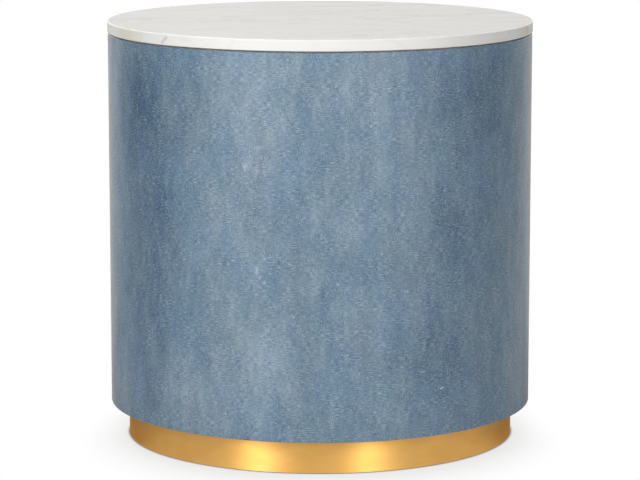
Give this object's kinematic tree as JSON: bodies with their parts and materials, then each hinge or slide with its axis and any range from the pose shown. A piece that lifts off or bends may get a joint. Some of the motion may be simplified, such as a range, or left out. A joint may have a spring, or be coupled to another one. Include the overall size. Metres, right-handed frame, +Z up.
{
  "type": "drum side table",
  "caption": "Round drum side table: polished white stone top, blue linen-wrapped body, recessed plinth with a satin brass band and screw levellers.",
  "frame": {"origin": "on the floor, under the middle of the drum", "axes": "+Z up along the drum's axis; the front faces -Y and the seams of wrap and band are at +Y"},
  "size_m": [0.5089, 0.509, 0.503],
  "materials": {
    "white_marble": "polished, faintly veined",
    "blue_linen": "dyed, washed and lacquered linen",
    "satin_brass": "satin brushed",
    "board": "raw fibreboard",
    "plywood": "raw flexible plywood",
    "softwood": "planed softwood",
    "zinc_steel": "zinc plated",
    "black_nylon": "moulded, matt",
    "clear_rubber": "translucent, soft"
  },
  "bodies": {
    "root": {"marble_top": "white_marble", "marble_bumpers": "clear_rubber", "subtop_panel": "board", "bottom_panel": "board", "mid_former": "board", "outer_ply_skin": "plywood", "inner_ply_skin": "plywood", "linen_wrap": "blue_linen", "plinth_ring_upper": "board", "plinth_ring_lower": "board", "plinth_band": "satin_brass", "strut_screws_top": "zinc_steel", "strut_screws_bottom": "zinc_steel", "plinth_screws": "zinc_steel", "strut_1": "softwood", "strut_2": "softwood", "strut_3": "softwood", "strut_4": "softwood", "strut_5": "softwood", "strut_6": "softwood", "strut_7": "softwood", "strut_8": "softwood", "leveller_insert_1": "zinc_steel", "leveller_insert_2": "zinc_steel", "leveller_insert_3": "zinc_steel", "leveller_insert_4": "zinc_steel"},
    "foot_1": {"leveller_foot_1": "black_nylon"},
    "stud_1": {"leveller_stud_1": "zinc_steel"},
    "foot_2": {"leveller_foot_2": "black_nylon"},
    "stud_2": {"leveller_stud_2": "zinc_steel"},
    "foot_3": {"leveller_foot_3": "black_nylon"},
    "stud_3": {"leveller_stud_3": "zinc_steel"},
    "foot_4": {"leveller_foot_4": "black_nylon"},
    "stud_4": {"leveller_stud_4": "zinc_steel"}
  },
  "joints": [
    {"name": "leveller_1_travel", "type": "slide", "parent": "root", "child": "foot_1", "axis": [0, 0, -1], "range_m": [0, 0.01]},
    {"name": "leveller_1_turn", "type": "hinge", "parent": "foot_1", "child": "stud_1", "pos_m": [0, 0.2, 0.007], "axis": [0, 0, -1], "range_deg": [0, 2880]},
    {"name": "leveller_2_travel", "type": "slide", "parent": "root", "child": "foot_2", "axis": [0, 0, -1], "range_m": [0, 0.01]},
    {"name": "leveller_2_turn", "type": "hinge", "parent": "foot_2", "child": "stud_2", "pos_m": [-0.2, 0, 0.007], "axis": [0, 0, -1], "range_deg": [0, 2880]},
    {"name": "leveller_3_travel", "type": "slide", "parent": "root", "child": "foot_3", "axis": [0, 0, -1], "range_m": [0, 0.01]},
    {"name": "leveller_3_turn", "type": "hinge", "parent": "foot_3", "child": "stud_3", "pos_m": [0, -0.2, 0.007], "axis": [0, 0, -1], "range_deg": [0, 2880]},
    {"name": "leveller_4_travel", "type": "slide", "parent": "root", "child": "foot_4", "axis": [0, 0, -1], "range_m": [0, 0.01]},
    {"name": "leveller_4_turn", "type": "hinge", "parent": "foot_4", "child": "stud_4", "pos_m": [0.2, 0, 0.007], "axis": [0, 0, -1], "range_deg": [0, 2880]}
  ],
  "couplings": [
    {"joint": "leveller_1_travel", "follows": "leveller_1_turn", "m_per_rad": 0.00019894},
    {"joint": "leveller_2_travel", "follows": "leveller_2_turn", "m_per_rad": 0.00019894},
    {"joint": "leveller_3_travel", "follows": "leveller_3_turn", "m_per_rad": 0.00019894},
    {"joint": "leveller_4_travel", "follows": "leveller_4_turn", "m_per_rad": 0.00019894}
  ]
}
